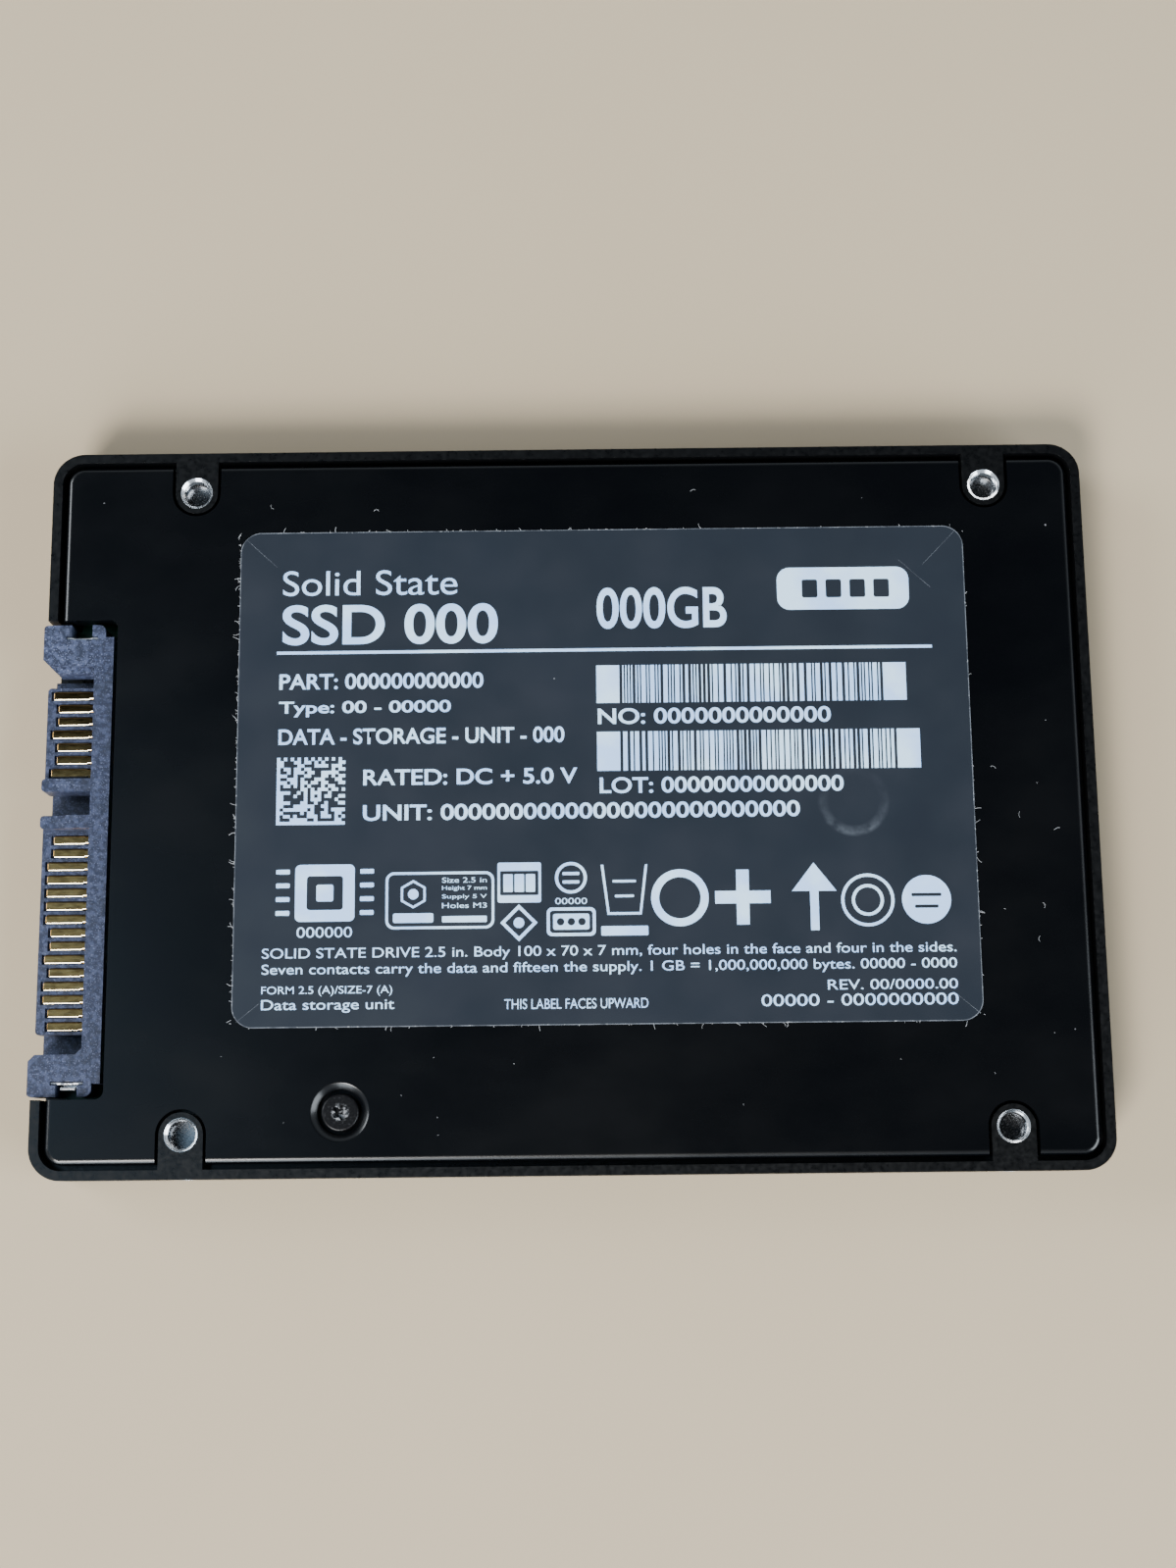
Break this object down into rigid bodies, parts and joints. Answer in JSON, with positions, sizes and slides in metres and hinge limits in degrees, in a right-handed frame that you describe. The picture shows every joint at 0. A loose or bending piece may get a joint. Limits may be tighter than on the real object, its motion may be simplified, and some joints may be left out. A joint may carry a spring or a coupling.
{
  "type": "solid state drive",
  "caption": "Flat rectangular 2.5-inch solid state drive: shallow metal case, let-in cover with a printed label, and an edge connector with two keyed contact tongues.",
  "frame": {"origin": "centre of the flat face opposite the label, on which the drive lies", "axes": "+Z out of the label side, +X along the drive away from the connector, +Y across it"},
  "size_m": [0.1005, 0.0698, 0.0068],
  "materials": {
    "painted_shell": "satin black powder coat on aluminium",
    "label_film": "matte dark slate film",
    "black_screw": "black plated steel",
    "housing_plastic": "blue-black glass-filled plastic",
    "contact_gold": "gold plated copper alloy",
    "tinned_metal": "bright tinned sheet",
    "board_laminate": "green solder mask on glass laminate",
    "chip_epoxy": "black moulded epoxy",
    "ferrite": "dark grey ferrite",
    "tantalum": "yellow-brown moulded case",
    "gap_filler": "soft blue-grey gap filler"
  },
  "bodies": {
    "root": {"case": "painted_shell", "cover": "painted_shell", "label": "label_film", "cover_screw_exposed": "black_screw", "cover_screw_upper": "black_screw", "cover_screw_rear": "black_screw", "connector_housing": "housing_plastic", "signal_contact_1": "contact_gold", "signal_contact_2": "contact_gold", "signal_contact_3": "contact_gold", "signal_contact_4": "contact_gold", "signal_contact_5": "contact_gold", "signal_contact_6": "contact_gold", "signal_contact_7": "contact_gold", "power_contact_1": "contact_gold", "power_contact_2": "contact_gold", "power_contact_3": "contact_gold", "power_contact_4": "contact_gold", "power_contact_5": "contact_gold", "power_contact_6": "contact_gold", "power_contact_7": "contact_gold", "power_contact_8": "contact_gold", "power_contact_9": "contact_gold", "power_contact_10": "contact_gold", "power_contact_11": "contact_gold", "power_contact_12": "contact_gold", "power_contact_13": "contact_gold", "power_contact_14": "contact_gold", "power_contact_15": "contact_gold", "hold_down_upper": "tinned_metal", "hold_down_lower": "tinned_metal", "crystal": "tinned_metal", "circuit_board": "board_laminate", "controller_chip": "chip_epoxy", "buffer_chip": "chip_epoxy", "power_chip": "chip_epoxy", "flash_chip_1": "chip_epoxy", "flash_chip_2": "chip_epoxy", "flash_chip_3": "chip_epoxy", "flash_chip_4": "chip_epoxy", "inductor_1": "ferrite", "inductor_2": "ferrite", "capacitor_1": "tantalum", "capacitor_2": "tantalum", "capacitor_3": "tantalum", "capacitor_4": "tantalum", "thermal_pad": "gap_filler", "cover_pad_1": "gap_filler", "cover_pad_2": "gap_filler"}
  },
  "joints": []
}
